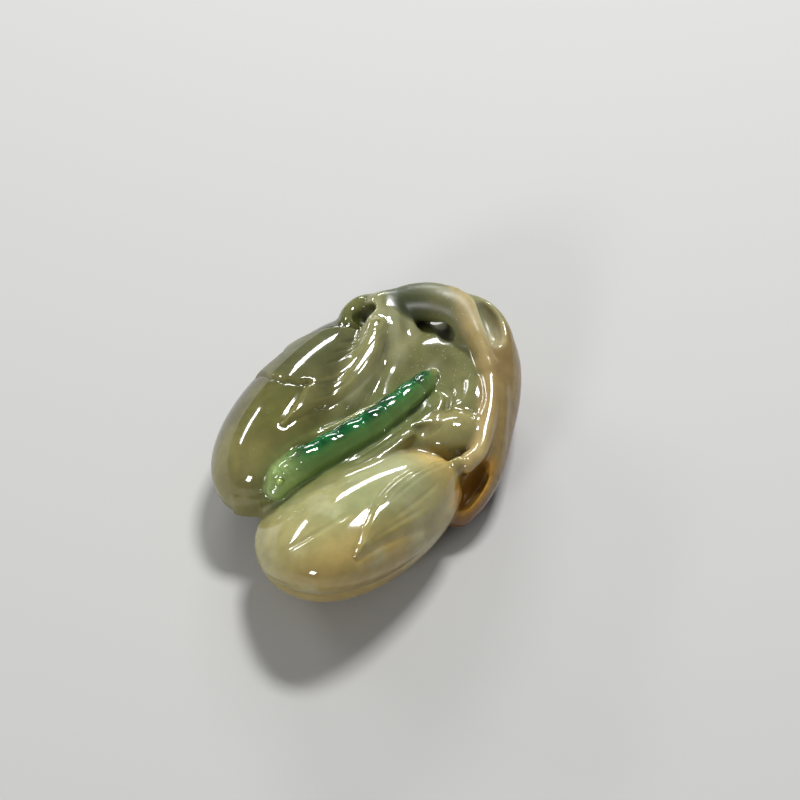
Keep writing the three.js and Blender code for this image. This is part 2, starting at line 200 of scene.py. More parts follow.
def swept(points, rows, far=FAR):
    """Distance to a tube whose rows are x, y, z and radius, with the place along it from 0 to 1 and
    the side that a point lies on seen from above, positive to the left.

    For each straight piece of the path the nearest share is clamp((p - start) . run / run . run),
    and the distance is |p - start - share run| - radius. The nearest piece counts. Points far from
    the whole path only get a distance that is surely too large to matter.
    """
    path = smooth_path(rows)
    reach = path[:, 3].max() + far
    low = path[:, :3].min(axis=0)[:, None] - reach
    high = path[:, :3].max(axis=0)[:, None] + reach
    beyond = np.linalg.norm(np.maximum(np.maximum(low - points, points - high), 0.0), axis=0)
    distance = beyond + far
    along = np.zeros_like(distance)
    side = np.ones_like(distance)
    near = beyond == 0.0
    close = points[:, near]
    best = np.full(close.shape[1], np.inf)
    place = np.zeros_like(best)
    left = np.ones_like(best)
    travelled, _ = way_along(path)
    for start, end, begun, done in zip(path[:-1], path[1:], travelled[:-1], travelled[1:]):
        run = end[:3] - start[:3]
        offset = close - start[:3, None]
        share = np.clip(run @ offset / (run @ run), 0.0, 1.0)
        gap = np.linalg.norm(offset - run[:, None] * share, axis=0)
        value = gap - start[3] - share * (end[3] - start[3])
        nearer = value < best
        best = np.where(nearer, value, best)
        place = np.where(nearer, begun + share * (done - begun), place)
        left = np.where(nearer, np.sign(run[0] * offset[1] - run[1] * offset[0]), left)
    distance[near] = best
    along[near] = place
    side[near] = left
    return distance, along, side


print("a path of 3 rows becomes", len(smooth_path([(0, 0), (1, 0), (2, 1)])), "points")


# %% [markdown]
# ## The sizes of the carving
#
# These are the same sizes that the solid was made from, so the finished surface keeps its form.
# Centres and half sizes are in millimetres, headings in degrees from +Y towards +X, and swept forms
# are rows of x, y, z and radius.

# %% The main forms
LEFT_FRUIT = dict(centre=(-12.7, -1.4, 7.9), heading=-3.6, half=(18.6, 7.5, 8.0), taper=0.25, bend=-0.9,
                  crown=0.4, shift=2.2, turn=0.0)
FRONT_FRUIT = dict(centre=(6.2, -13.3, 8.0), heading=31.0, half=(15.6, 9.6, 8.1), taper=0.2, bend=0.0,
                   crown=0.6, shift=3.2, turn=-4.5)
BED = dict(centre=(1.6, 8.4, 6.1), heading=8.0, half=(18.6, 13.0, 6.4))
SHOULDER = dict(centre=(-6.6, 1.5, 9.4), heading=-4.0, half=(13.0, 4.4, 5.0))
STALK_ROOT = dict(centre=(-8.0, 16.6, 8.6), heading=0.0, half=(4.4, 3.8, 4.4))
NODE = dict(centre=(10.6, 4.6, 10.4), heading=40.0, half=(4.2, 3.2, 2.6))
DISH = dict(centre=(4.0, 11.0, 15.6), heading=-10.0, half=(12.5, 6.8, 5.6))
BACK_OF_HOLE = dict(centre=(-6.4, 27.2, 7.7), heading=0.0, half=(5.6, 5.6, 4.0))
CUP = dict(centre=(16.6, -0.4, 7.6), heading=4.0, half=(4.6, 1.3, 3.0))
PAD = dict(centre=(6.2, 23.8, 13.4), heading=-45.0, half=(4.4, 1.8, 3.0))
CURL_PIT = dict(centre=(-10.5, 16.0, 12.8), heading=40.0, half=(1.9, 1.5, 2.4))

CURLED_LEAF = [
    (4.2, 23.6, 8.2, 4.0), (7.6, 21.2, 8.0, 4.3), (10.6, 16.0, 7.4, 4.3), (12.8, 10.5, 6.8, 4.2),
    (14.6, 5.0, 6.2, 4.1), (15.6, 0.6, 5.2, 3.3), (15.9, -2.6, 4.0, 2.2),
]
ARCH = [
    (-9.6, 18.4, 9.6, 2.6), (-8.2, 20.0, 11.0, 2.6), (-5.6, 21.8, 12.2, 2.8),
    (-2.2, 23.0, 12.9, 2.9), (1.2, 23.2, 12.6, 2.8), (4.2, 21.8, 11.4, 2.8),
]
RIGHT_STEM = [
    (-0.4, 24.2, 13.5, 1.7), (1.9, 23.5, 13.6, 1.6), (4.9, 21.2, 13.2, 1.4), (7.3, 19.2, 12.4, 1.3),
    (9.7, 17.0, 11.6, 1.1),
]
PAD_RIM = [
    (0.6, 26.0, 11.6, 1.5), (2.9, 26.5, 11.3, 1.5), (5.2, 26.1, 11.0, 1.5), (7.4, 24.7, 10.7, 1.5),
    (8.9, 22.7, 10.2, 1.5), (9.9, 20.2, 9.6, 1.6),
]
LEAF_RIM = [
    (9.6, 17.2, 11.2, 1.1), (12.2, 13.1, 11.0, 1.2), (14.2, 8.2, 10.8, 1.2), (15.5, 3.8, 10.8, 1.2),
    (15.1, 0.5, 11.2, 1.4),
]
LEFT_STALKS = [
    [(-9.8, 18.7, 12.2, 1.8), (-7.1, 13.5, 12.9, 1.7), (-5.7, 9.1, 12.9, 1.7), (-4.8, 4.5, 12.7, 1.8),
     (-5.0, 1.3, 12.0, 1.8)],
    [(-8.7, 19.7, 12.2, 1.8), (-5.7, 15.7, 12.2, 1.6), (-3.1, 12.4, 11.1, 1.5), (-2.0, 9.9, 10.1, 1.3),
     (-1.2, 7.7, 9.5, 1.1)],
    [(-7.4, 20.2, 11.9, 1.5), (-3.7, 17.3, 10.9, 1.3), (-2.4, 14.0, 10.2, 1.2), (-1.3, 11.3, 9.8, 1.0)],
]
CURL = [
    (-8.6, 18.4, 11.8, 1.7), (-10.6, 19.2, 11.4, 1.6), (-12.4, 18.2, 11.0, 1.6), (-12.9, 16.0, 10.8, 1.6),
    (-12.0, 13.8, 11.0, 1.6),
]
LARVA = [
    (-5.4, -16.6, 11.8, 1.6), (-5.1, -15.1, 12.8, 2.1), (-3.7, -12.4, 13.6, 2.4), (-1.9, -9.1, 14.0, 2.3),
    (-0.2, -5.4, 14.1, 2.2), (1.4, -1.6, 14.0, 2.2), (2.5, 3.3, 13.6, 2.0), (3.2, 7.7, 12.9, 1.8),
    (3.7, 11.2, 12.2, 1.3),
]
for name, rows in {"curled leaf": CURLED_LEAF, "arch": ARCH, "larva": LARVA}.items():
    print("the", name, "is", round(way_along(smooth_path(rows))[1], 1), "mm long")

# %% The cuts
CORD_HOLE = [
    (-3.4, 24.4, 9.0, 1.9), (-1.6, 22.6, 10.0, 1.4), (0.2, 21.0, 10.8, 1.2), (1.4, 19.4, 11.8, 1.1),
]
UPPER_PIT = [(6.2, 1.4, 12.9, 0.4), (7.5, 2.1, 12.4, 0.8), (8.9, 3.2, 12.9, 0.4)]
LOWER_PIT = [(11.2, 0.2, 13.0, 0.4), (12.6, 0.6, 12.4, 0.8), (14.0, 1.5, 12.9, 0.4)]
BLOSSOM_SCARS = [(-16.4, -18.0, 6.6), (-4.0, -26.2, 6.0)]
SCAR_RADIUS = 0.7
print("the cord hole narrows from", 2 * CORD_HOLE[0][3], "to", 2 * CORD_HOLE[-1][3], "mm across")

# %% [markdown]
# ## Leaves
#
# A leaf is drawn in plan: a midrib, and a half width that swells from the root and narrows to the
# tip. The middle leaf is thick enough to be a slab of its own. The others lie on the fruits, so they
# raise the stone by their thickness inside their outline, the first one over the second.

# %% The leaves
MIDDLE_LEAF = dict(
    rib=[(4.8, 6.9), (3.0, 0.7), (0.3, -6.3), (-3.4, -12.3), (-6.7, -16.9), (-10.4, -19.6)],
    wide=4.4, at=0.45, point=0.7, root=0.7,
)
LAID_LEAVES = [
    dict(rib=[(-7.2, 14.0), (-10.7, 7.3), (-14.0, 1.9), (-18.4, -0.6)], wide=5.7, at=0.64, point=0.6,
         root=0.25, proud=0.5),
    dict(rib=[(-6.4, 13.0), (-6.6, 5.0), (-7.6, -2.5), (-8.6, -9.4)], wide=2.6, at=0.38, point=0.8,
         root=0.25, proud=0.45),
    dict(rib=[(13.9, -0.6), (13.05, -8.5), (11.9, -15.1), (11.2, -22.8)], wide=3.1, at=0.42, point=0.7,
         root=0.25, proud=0.45),
]
OUTLINE_END = 1.02
LEAF_TOP = 13.3
TIP_DROP = 3.8
TIP_SINKS_FROM = 0.55
ROOT_DROP = 1.4
ROOT_SINKS_TO = 0.3
CURL_UP = 0.64
CURL_REACH = 4.0
LEAF_UNDERSIDE = 6.0
LAID_FROM = 8.0
LAID_TO = 10.0

# Fillets and lips
CRISP = 0.5
SOFT = 0.8
ROUND = 1.2
BROAD = 2.5
BACK_FILLET = 3.0
BACK_FROM = 2.5
BACK_TO = 8.0
LEAF_LIP = 0.6


def leaf_outline(points, leaf):
    """Distance outside a leaf's outline in plan, the place along it from 0 to 1, the distance across it,
    positive to the left, and its half width there.

    Half width is wide times s(-root, at) times (1 - s(at, end))^point, with s the smooth step of the
    place along the midrib.
    """
    rib = [(x, y, 0.0, 0.0) for x, y in leaf["rib"]]
    plan = np.stack([points[0], points[1], np.zeros_like(points[0])])
    across, along, side = swept(plan, rib, LEAF_FAR)
    swelling = smooth_step(-leaf["root"], leaf["at"], along)
    narrowing = 1.0 - smooth_step(leaf["at"], OUTLINE_END, along)
    half_width = leaf["wide"] * swelling * narrowing ** leaf["point"]
    return across - half_width, along, across * side, half_width


def middle_leaf(points):
    """A low slab under z = top - tip sinking - root sinking + curl of its edges, above its underside."""
    outside, along, across, _ = leaf_outline(points, MIDDLE_LEAF)
    curl = CURL_UP * np.minimum(np.abs(across) / CURL_REACH, 1.0) ** 2
    sinking = TIP_DROP * smooth_step(TIP_SINKS_FROM, 1.0, along)
    sinking = sinking + ROOT_DROP * (1.0 - smooth_step(0.0, ROOT_SINKS_TO, along))
    above = points[2] - (LEAF_TOP - sinking + curl)
    return np.maximum(-join(-outside, -above, SOFT), LEAF_UNDERSIDE - points[2])


for leaf in [MIDDLE_LEAF] + LAID_LEAVES:
    rib = np.array([(x, y, 0.0) for x, y in leaf["rib"]])
    print("a leaf", round(way_along(rib)[1], 1), "mm long and", 2 * leaf["wide"], "mm wide")

# %% [markdown]
# ## Roughing out and fine carving
#
# The carver roughs out the large forms, undercuts the arch and bores the cord hole, and only then
# lays the leaves and cuts the veins. The functions below work in that order, because each join or
# cut acts on what is there already.

# %% The rough carving
def rough_stone(points):
    """The stone before its leaves are laid and its veins are cut, in the carver's order."""
    body = join(lump(points, BED), swept(points, CURLED_LEAF)[0], BROAD)
    body = cut(body, lump(points, DISH), ROUND)
    body = cut(body, lump(points, BACK_OF_HOLE), ROUND)
    body = cut(body, lump(points, CUP), SOFT)
    body = join(body, lump(points, SHOULDER), ROUND)
    body = join(body, lump(points, STALK_ROOT), ROUND)
    crease = BACK_FILLET + (SOFT - BACK_FILLET) * smooth_step(BACK_FROM, BACK_TO, points[2])
    body = join(body, fruit(points, LEFT_FRUIT), crease)
    body = join(body, fruit(points, FRONT_FRUIT), crease)
    body = join(body, middle_leaf(points), ROUND)
    body = join(body, lump(points, NODE), ROUND)
    body = join(body, swept(points, ARCH)[0], SOFT)
    body = join(body, swept(points, PAD_RIM)[0], ROUND)
    body = cut(body, lump(points, PAD), SOFT)
    body = join(body, swept(points, RIGHT_STEM)[0], SOFT)
    body = join(body, swept(points, LEAF_RIM)[0], ROUND)
    for stalk in LEFT_STALKS:
        body = join(body, swept(points, stalk)[0], ROUND)
    body = cut(body, swept(points, CORD_HOLE)[0], CRISP)
    body = join(body, swept(points, CURL)[0], SOFT)
    body = cut(body, lump(points, CURL_PIT), CRISP)
    body = cut(body, swept(points, UPPER_PIT)[0], SOFT)
    body = cut(body, swept(points, LOWER_PIT)[0], SOFT)
    for scar in BLOSSOM_SCARS:
        from_scar = np.linalg.norm(points - np.array(scar)[:, None], axis=0)
        body = cut(body, from_scar - SCAR_RADIUS, SOFT)
    return body


inner = np.array([[6.0], [-13.0], [8.0]])
print("the front fruit's middle lies", round(-rough_stone(inner)[0], 1), "mm inside the stone")

# %% The leaves laid over the fruits
FOLD_DEPTH = 0.09
FOLD_HALF_WIDTH = 0.26
FOLD_FADE = 0.12
EDGE_DEPTH = 0.07
EDGE_OFFSET = 0.45

# For each leaf, its folds: where each lies across it as a share of the half width, positive to the
# left of the way from root to tip, and where along the leaf it starts and ends
LEAF_FOLDS = [
    [(0.6, -0.1, 0.6), (0.34, -0.1, 0.48), (0.08, 0.05, 0.38)],
    [(0.6, 0.1, 0.7), (0.1, 0.15, 0.6)],
    [(-0.72, 0.0, 0.66), (-0.44, 0.0, 0.6), (0.3, 0.2, 0.7), (0.62, 0.4, 0.95)],
]


def groove(distance, half_width):
    """A rounded groove of unit depth: exp(-(distance / half width)^2)."""
    return np.exp(-((distance / half_width) ** 2))


def fading(along, start, end):
    """1 between start and end along a line, falling to 0 within the fade inside them."""
    return smooth_step(start, start + FOLD_FADE, along) * (1.0 - smooth_step(end - FOLD_FADE, end, along))


def lay_leaves(body, points):
    """Raises the body by each leaf's thickness inside its outline, where no upper leaf covers it.

    Folds are grooves along each leaf, and one more runs round just outside its edge.
    """
    bare = smooth_step(LAID_FROM, LAID_TO, points[2])
    for leaf, folds in zip(LAID_LEAVES, LEAF_FOLDS):
        outside, along, across, half_width = leaf_outline(points, leaf)
        inside = 1.0 - smooth_step(-LEAF_LIP, LEAF_LIP, outside)
        relief = leaf["proud"] * inside - EDGE_DEPTH * groove(outside - EDGE_OFFSET, FOLD_HALF_WIDTH)
        for share, start, end in folds:
            fold = groove(across - share * half_width, FOLD_HALF_WIDTH) * fading(along, start, end)
            relief = relief - FOLD_DEPTH * fold * inside
        body = body - relief * bare
        bare = bare * (1.0 - inside)
    return body


print(sum(len(folds) for folds in LEAF_FOLDS), "folds on", len(LAID_LEAVES), "laid leaves")

# %% Engraved lines
ENGRAVED = [
    dict(path=[(1.9, -26.2), (3.8, -24.1), (5.6, -21.3), (6.9, -18.7), (8.0, -17.1)], deep=0.2,
         half=0.45),
    dict(path=[(5.8, 12.2), (7.3, 10.6), (8.1, 8.1), (8.0, 6.2)], deep=0.2, half=0.6),
    dict(path=[(6.8, 14.4), (8.2, 12.0), (8.9, 9.0)], deep=0.18, half=0.6),
    dict(path=[(7.0, 16.3), (9.2, 14.7), (11.2, 12.3), (12.7, 9.4)], deep=0.2, half=0.6),
    dict(path=[(0.4, -11.3), (1.2, -9.9), (2.7, -6.7), (4.2, -2.6), (4.9, 0.4), (5.5, 4.4), (5.6, 8.0)],
         deep=0.2, half=0.4),
    dict(path=[(2.0, -10.0), (3.6, -7.0), (5.2, -3.4), (5.9, -1.0)], deep=0.2, half=0.4),
]
LINE_FADE = 0.25

# The thin ridge along the outside of the curled leaf
OUTER_RIDGE = [
    (12.0, 16.2, 10.5, 0.8), (13.6, 13.8, 10.3, 0.9), (15.3, 10.4, 9.6, 0.9), (16.7, 6.8, 8.7, 0.9),
    (17.4, 3.6, 7.6, 0.7),
]


def engraved(body, points):
    """The body with its lines cut: each is a rounded groove along a path in plan, fading at its ends."""
    upper = smooth_step(LAID_FROM, LAID_TO, points[2])
    plan = np.stack([points[0], points[1], np.zeros_like(points[0])])
    for line in ENGRAVED:
        distance, along, _ = swept(plan, [(x, y, 0.0, 0.0) for x, y in line["path"]])
        ends = smooth_step(0.0, LINE_FADE, along) * (1.0 - smooth_step(1.0 - LINE_FADE, 1.0, along))
        body = body + line["deep"] * groove(distance, line["half"]) * ends * upper
    return body


print(len(ENGRAVED), "engraved lines, at most", max(line["deep"] for line in ENGRAVED), "mm deep")

# %% [markdown]
# ## The larva
#
# The emerald streak of the stone became a larva. It is a tube that swells between waists, with a
# fine groove down its right flank and two small eyes. The rings belong to the field and not to a
# bump in the material, so they catch the light and change the outline from every side.

# %% The larva
LARVA_RINGS = 8
RING_DEPTH = 0.28
RING_ON_SIDES = 0.5
RING_BACK_FROM = 0.3
SMOOTH_HEAD = 0.12
FLANK_PLACE = -0.75
FLANK_DEPTH = 0.12
FLANK_HALF_WIDTH = 0.16
FLANK_FULL_FROM = 0.5
EYES = [(-4.6, -17.0, 14.2), (-5.9, -16.2, 14.2)]
EYE_RADIUS = 0.45
EYE_FILLET = 0.2


def larva_parts(points):
    """Distance to the larva's smooth body, the place along it, and how far across and above its
    middle line a point lies, both as shares of its radius, across positive to the left."""
    distance, along, side = swept(points, LARVA)
    path = smooth_path(LARVA)
    travelled, _ = way_along(path)
    radius = np.interp(along, travelled, path[:, 3])
    above = (points[2] - np.interp(along, travelled, path[:, 2])) / radius
    across = side * np.sqrt(np.maximum(((distance + radius) / radius) ** 2 - above**2, 0.0))
    return distance, along, across, above


def larva(points):
    """A swept body whose rings swell between waists: distance + depth (1 - sqrt(1 - cos^2)), deepest
    along its back, with a fine groove down its right flank and two small eyes."""
    distance, along, across, above = larva_parts(points)
    waist = np.abs(np.cos(np.pi * LARVA_RINGS * along))
    on_back = smooth_step(RING_BACK_FROM, 1.0, above)
    depth = RING_DEPTH * (RING_ON_SIDES + (1.0 - RING_ON_SIDES) * on_back)
    body = distance + depth * (1.0 - np.sqrt(1.0 - waist**2)) * smooth_step(0.0, SMOOTH_HEAD, along)
    flank = groove(across - FLANK_PLACE, FLANK_HALF_WIDTH) * smooth_step(0.0, FLANK_FULL_FROM, above)
    body = body + FLANK_DEPTH * flank
    for eye in EYES:
        from_eye = np.linalg.norm(points - np.array(eye)[:, None], axis=0)
        body = join(body, from_eye - EYE_RADIUS, EYE_FILLET)
    return body


def stone(points):
    """The whole carving."""
    body = join(rough_stone(points), swept(points, OUTER_RIDGE)[0], SOFT)
    body = engraved(lay_leaves(body, points), points)
    return join(body, larva(points), CRISP)


print("a ring is", round(way_along(smooth_path(LARVA))[1] / LARVA_RINGS, 1), "mm long")

# %% [markdown]
# ## Skinning the field
#
# The field is read on a grid. Each cell that the surface crosses gets one vertex, and each grid edge
# that it crosses gets one four-sided face through the four cells around it: this is known as surface
# nets. Reading it everywhere would be slow, so a coarse grid is read first, and the fine one only
# near the surface.

# %% Read the field near the surface
BLOCK_LOW = np.array([-22.5, -30.0, -3.2])
BLOCK_HIGH = np.array([21.0, 30.0, 19.0])

# The fine grid's spacing, the fine steps in a coarse one, and how near the surface is near
PITCH = 0.3
COARSE = 4
SAFE = 2.4


def grid_points(low, count, pitch):
    """The points low + index pitch of a grid, as three rows."""
    index = np.indices(count).reshape(3, -1)
    return low[:, None] + index * pitch


def read_field(field, low, high, pitch):
    """The field on a fine grid, read only where its value on a coarse grid is under SAFE."""
    coarse_count = np.ceil((high - low) / (pitch * COARSE)).astype(int) + 1
    coarse = field(grid_points(low, coarse_count, pitch * COARSE)).reshape(coarse_count)
    values = np.kron(coarse[:-1, :-1, :-1], np.ones((COARSE, COARSE, COARSE)))
    near = np.argwhere(np.abs(values) < SAFE)
    values[tuple(near.T)] = field(low[:, None] + near.T * pitch)
    return values


values = read_field(stone, BLOCK_LOW, BLOCK_HIGH, PITCH)
print("the fine grid has", " x ".join(map(str, values.shape)), "points")

# %% Fill the cells that the grid is too coarse for
CORNERS = np.indices((2, 2, 2)).reshape(3, -1).T
FILL_DEPTH = 0.01


def hangs_together(corners):
    """Whether a set of a cell's corners, as bits 0 to 7, is joined along the cell's edges."""
    reached = corners & -corners
    for _ in range(8):
        for corner in range(8):
            if reached >> corner & 1:
                for step in (1, 2, 4):
                    reached |= corners & (1 << (corner ^ step))
    return reached == corners


SOUND = np.array([hangs_together(bits) and hangs_together(255 ^ bits) for bits in range(256)])


def corner_values(values):
    """The field at the eight corners of every cell, with the corners on the last axis."""
    nx, ny, nz = np.array(values.shape) - 1
    return np.stack([values[i : i + nx, j : j + ny, k : k + nz] for i, j, k in CORNERS], axis=-1)


def fill_fine_creases(values):
    """Puts the nearest outside corner of each unsound cell inside the stone, until all are sound."""
    weights = 1 << np.arange(8)
    while True:
        inside = corner_values(values < 0.0)
        unsound = np.argwhere(~SOUND[inside @ weights])
        if len(unsound) == 0:
            return values
        eight = unsound[:, None, :] + CORNERS[None]
        found = values[tuple(eight.transpose(2, 0, 1))]
        nearest = np.where(found < 0.0, np.inf, found).argmin(axis=1)
        chosen = eight[np.arange(len(eight)), nearest]
        values[tuple(chosen.T)] = -FILL_DEPTH


values = fill_fine_creases(values)
print((~SOUND).sum(), "of a cell's 256 patterns are unsound, and none of them is left")

# %% Surface nets
def surface_nets(values, low, pitch):
    """Vertices at the middle of each cell's crossings, and a face around each crossed grid edge.

    A crossing lies at start / (start - end) of the way along its edge.
    """
    cells = np.array(values.shape) - 1
    total = np.zeros((*cells, 3))
    count = np.zeros(cells, int)
    crossed = []
    for axis in range(3):
        start = np.take(values, range(cells[axis]), axis)
        end = np.take(values, range(1, cells[axis] + 1), axis)
        where = np.argwhere((start < 0.0) != (end < 0.0))
        first, last = start[tuple(where.T)], end[tuple(where.T)]
        spot = where.astype(float)
        spot[:, axis] += first / (first - last)
        one, two = np.eye(3, dtype=int)[[(axis + 1) % 3, (axis + 2) % 3]]
        around = np.stack([where, where - one, where - one - two, where - two], axis=1)
        for cell in around.transpose(1, 2, 0):
            np.add.at(total, tuple(cell), spot)
            np.add.at(count, tuple(cell), 1)
        around[first >= 0.0] = around[first >= 0.0][:, ::-1]
        crossed.append(around)
    used = count > 0
    order = np.full(cells, -1)
    order[used] = np.arange(used.sum())
    faces = order[tuple(np.concatenate(crossed).transpose(2, 0, 1))]
    vertices = total[used] / count[used][:, None] * pitch + low
    return vertices, faces


skin, faces = surface_nets(values, BLOCK_LOW, PITCH)
print("the skin has", len(skin), "vertices and", len(faces), "faces")

# %% Settle the skin on the surface
SLOPE_STEP = 0.02
LEAST_SLOPE = 0.3
RELAXING = 0.5
SMOOTHING_PASSES = 3


def slope_at(field, vertices):
    """The field's gradient, from the differences over a small step along each axis."""
    steps = np.eye(3) * SLOPE_STEP
    rises = [field((vertices + step).T) - field((vertices - step).T) for step in steps]
    return np.stack(rises, axis=1) / (2.0 * SLOPE_STEP)


def settle(field, vertices, furthest):
    """Moves each vertex along the slope by field / |slope|, and returns the unit slopes too."""
    slope = slope_at(field, vertices)
    steepness = np.linalg.norm(slope, axis=1)
    normals = slope / np.maximum(steepness, TINY)[:, None]
    reach = field(vertices.T) / np.maximum(steepness, LEAST_SLOPE)
    return vertices - normals * np.clip(reach, -furthest, furthest)[:, None], normals


def relax(vertices, faces):
    """Moves each vertex part of the way to the middle of its neighbours."""
    starts = faces.ravel()
    ends = np.roll(faces, -1, axis=1).ravel()
    total = np.zeros_like(vertices)
    for axis in range(3):
        total[:, axis] = np.bincount(starts, vertices[ends, axis], len(vertices))
        total[:, axis] += np.bincount(ends, vertices[starts, axis], len(vertices))
    count = np.bincount(starts, minlength=len(vertices)) + np.bincount(ends, minlength=len(vertices))
    return vertices + (total / count[:, None] - vertices) * RELAXING


for _ in range(SMOOTHING_PASSES):
    skin, normals = settle(stone, relax(skin, faces), PITCH / 2)
print("the skin lies within", round(np.abs(stone(skin.T)).max(), 2), "mm of the field's surface")

# %% [markdown]
# ## The stone's colours
#
# Jade is cloudy, and its colours run through it in zones. Each zone is a number from 0 to 1 at every
# vertex, worked out from the same forms as the carving, and the material mixes its colours by them.

# %% Zones of colour
# For each form, how far outside it its zone starts to fade and where it has faded away, in millimetres
FADES = {
    "larva": (0.05, 0.5), "glow": (0.2, 3.0), "left": (-0.3, 1.5), "front": (-0.4, 1.2),
    "arch": (0.2, 1.2), "stalks": (0.0, 0.8), "stem": (0.0, 1.0), "rim": (0.0, 2.0),
    "cup": (0.1, 1.6), "pad": (0.1, 1.0), "curl": (0.0, 1.2), "node": (0.3, 1.5),
    "bowl": (0.2, 1.5), "hole": (0.1, 0.6),
}
CREASE_REACH = 0.7
EDGE_HALF_WIDTH = 0.35

# The line in plan that the curled leaf's outer side lies beyond: it leans inwards towards the arch
OUTER_X = 13.4
OUTER_LEAN = 0.45
OUTER_LEANS_FROM = 6.0
OUTER_FROM = -1.5
OUTER_TO = 2.5


# This band along the leaf edges carries a painted highlight in the colours
def leaf_edges(points):
    """1 along each leaf's outline where no upper leaf covers it, as exp(-(distance / half width)^2)."""
    bare = smooth_step(LAID_FROM, LAID_TO, points[2])
    edges = np.zeros_like(bare)
    for leaf in LAID_LEAVES + [MIDDLE_LEAF]:
        outside = leaf_outline(points, leaf)[0]
        edges = np.maximum(edges, groove(outside, EDGE_HALF_WIDTH) * bare)
        bare = bare * smooth_step(-LEAF_LIP, LEAF_LIP, outside)
    return edges


def zones(vertices, normals):
    """For each form, 1 minus the smooth step of the distance from it, and the places along and across
    the fruits and the larva. A crease is where a point lifted off the surface is still near stone."""
    points = vertices.T
    from_larva, larva_along, larva_across = larva(points), *larva_parts(points)[1:3]
    from_arch, arch_along, _ = swept(points, ARCH)
    distances = {
        "larva": from_larva,
        "glow": from_larva,
        "left": fruit(points, LEFT_FRUIT),
        "front": fruit(points, FRONT_FRUIT),
        "arch": from_arch,
        "stalks": np.min([swept(points, stalk)[0] for stalk in LEFT_STALKS], axis=0),
        "stem": np.minimum(swept(points, RIGHT_STEM)[0], swept(points, LEAF_RIM)[0]),
        "rim": swept(points, CURLED_LEAF)[0],
        "cup": lump(points, CUP),
        "pad": lump(points, PAD),
        "curl": swept(points, CURL)[0],
        "node": lump(points, NODE),
        "bowl": lump(points, DISH),
        "hole": swept(points, CORD_HOLE)[0],
    }
    shares = {name: 1.0 - smooth_step(*FADES[name], distance) for name, distance in distances.items()}
    beyond = points[0] - OUTER_X + OUTER_LEAN * np.maximum(points[1] - OUTER_LEANS_FROM, 0.0)
    lifted = stone(points + normals.T * CREASE_REACH)
    front_along, front_across, _ = turned(points, FRONT_FRUIT)
    return shares | {
        "outer": smooth_step(OUTER_FROM, OUTER_TO, beyond),
        "edge_highlight": leaf_edges(points),
        "crease": np.clip(1.0 - lifted / CREASE_REACH, 0.0, 1.0),
        "larva_along": larva_along,
        "larva_across": larva_across,
        "arch_along": arch_along,
        "left_along": points[1],
        "left_across": turned(points, LEFT_FRUIT)[1],
        "front_along": front_along,
        "front_across": front_across,
        "height": points[2],
    }


marks = zones(skin, normals)
print(len(marks), "numbers at each vertex:", ", ".join(marks))

# %% [markdown]
# ## The finished mesh
#
# The skin becomes one mesh in metres. Its shading normals are the field's slopes, which are smoother
# than its faces, and its underside is pressed flat where it lies on the floor. It stands in for the
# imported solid, rides on the same body and has the same material slot.

# %% The mesh
def make_piece(name, vertices, normals, faces, attributes):
    """A mesh object in metres in the pendant's frame, shaded by the field's slopes, with one number per
    vertex for each attribute."""
    mesh = bpy.data.meshes.new(name)
    mesh.from_pydata(((vertices - MIDDLE) * MM).tolist(), [], faces.tolist())
    for attribute, values in attributes.items():
        layer = mesh.attributes.new(attribute, "FLOAT", "POINT")
        layer.data.foreach_set("value", values.astype(np.float32))
    mesh.shade_smooth()
    mesh.update()
    mesh.normals_split_custom_set_from_vertices(normals)
    piece = bpy.data.objects.new(name, mesh)
    bpy.context.scene.collection.objects.link(piece)
    return piece


normals[skin[:, 2] < 0.0] = (0.0, 0.0, -1.0)
skin[:, 2] = np.maximum(skin[:, 2], 0.0)
carving = make_piece("jade_pendant", skin, normals, faces, marks)
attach(carving, "root")
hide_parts("jade_carving")
print(carving.name, "has", 2 * len(faces), "triangles")

# %% [markdown]
# ## Shader maths
#
# A material is a graph of nodes, and wiring one by hand hides the arithmetic in it. With the two
# classes below it is written as expressions instead: a Socket wraps a node's output, so that + - and
# * on it add Math nodes, and a Shader adds every other kind of node.

# %% Shader maths
class Socket:
    """An output of a shader node. + - and * on it add Math nodes, with a number or another output."""

    def __init__(self, shader, output):
        self.shader = shader
        self.output = output

    def maths(self, operation, first, second):
        """A Math node of two values."""
        return self.shader.node("ShaderNodeMath", {"operation": operation}, {0: first, 1: second})

    def __add__(self, other):
        return self.maths("ADD", self, other)

    def __sub__(self, other):
        return self.maths("SUBTRACT", self, other)

    def __mul__(self, other):
        return self.maths("MULTIPLY", self, other)

    def __rsub__(self, other):
        return self.maths("SUBTRACT", other, self)

    __radd__ = __add__
    __rmul__ = __mul__

    def step(self, low, high):
        """0 where this is below low, 1 above high, and a smooth step between them."""
        return self.shader.node(
            "ShaderNodeMapRange",
            {"interpolation_type": "SMOOTHSTEP"},
            {"Value": self, "From Min": low, "From Max": high},
        )


